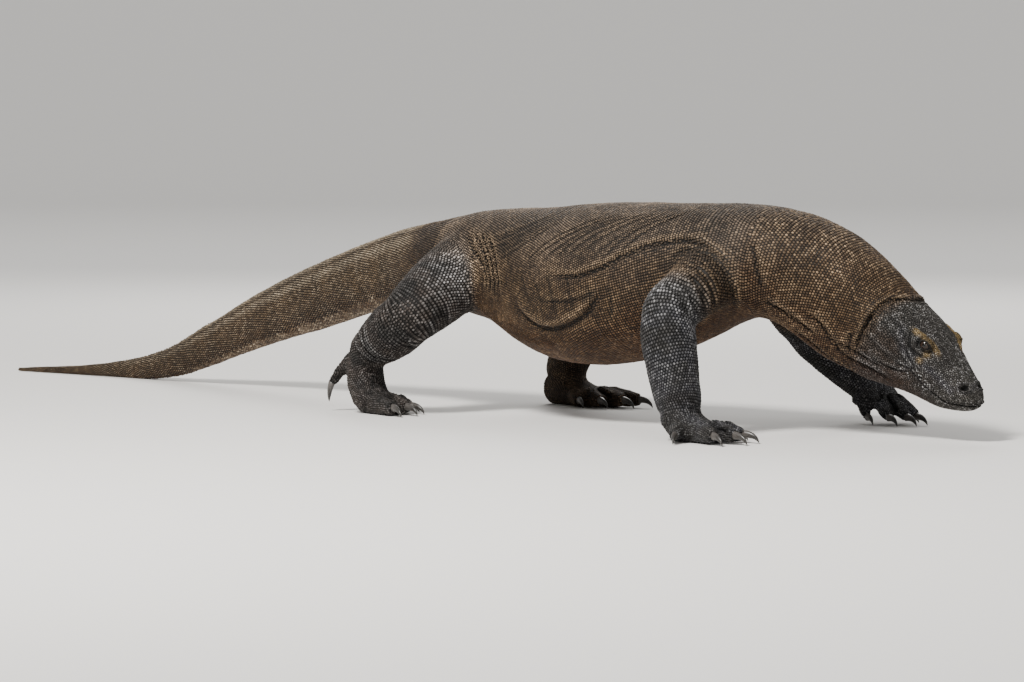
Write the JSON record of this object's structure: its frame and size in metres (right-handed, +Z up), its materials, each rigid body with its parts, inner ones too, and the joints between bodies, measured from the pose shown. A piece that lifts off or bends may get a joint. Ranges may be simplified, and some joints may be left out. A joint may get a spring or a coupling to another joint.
{
  "type": "komodo dragon model",
  "caption": "Life-size still model of a large monitor lizard in mid stride, head lowered, long tail trailing to the floor.",
  "frame": {"origin": "middle of the bounding box, on the floor that the feet and the tail rest on", "axes": "+X from the tail to the head, +Y to the animal's left, +Z up"},
  "size_m": [2.433, 0.6192, 0.3619],
  "materials": {
    "back_skin": "dry bead-scaled hide, grey-brown",
    "flank_skin": "dry bead-scaled hide, warm brown",
    "leg_skin": "dry bead-scaled hide, dark grey with pale scale tips",
    "head_skin": "fine plated skin, grey with tan brows",
    "claw_horn": "worn horn, satin",
    "eye": "wet dark brown eye, gloss"
  },
  "bodies": {
    "root": {"tail_tip": "back_skin", "tail_end": "back_skin", "tail_middle": "back_skin", "tail_base": "back_skin", "hips": "back_skin", "belly": "flank_skin", "chest": "flank_skin", "neck": "back_skin", "head": "head_skin", "jaw": "head_skin", "eye_right": "eye", "eye_left": "eye", "right_fore_upper_arm": "leg_skin", "right_fore_forearm": "leg_skin", "right_fore_hand": "leg_skin", "right_fore_claw_1": "claw_horn", "right_fore_claw_2": "claw_horn", "right_fore_claw_3": "claw_horn", "right_fore_claw_4": "claw_horn", "right_fore_claw_5": "claw_horn", "left_fore_upper_arm": "leg_skin", "left_fore_forearm": "leg_skin", "left_fore_hand": "leg_skin", "left_fore_claw_1": "claw_horn", "left_fore_claw_2": "claw_horn", "left_fore_claw_3": "claw_horn", "left_fore_claw_4": "claw_horn", "left_fore_claw_5": "claw_horn", "right_hind_thigh": "leg_skin", "right_hind_shank": "leg_skin", "right_hind_foot": "leg_skin", "right_hind_claw_1": "claw_horn", "right_hind_claw_2": "claw_horn", "right_hind_claw_3": "claw_horn", "right_hind_claw_4": "claw_horn", "right_hind_claw_5": "claw_horn", "left_hind_thigh": "leg_skin", "left_hind_shank": "leg_skin", "left_hind_foot": "leg_skin", "left_hind_claw_1": "claw_horn", "left_hind_claw_2": "claw_horn", "left_hind_claw_3": "claw_horn", "left_hind_claw_4": "claw_horn", "left_hind_claw_5": "claw_horn"}
  },
  "joints": []
}
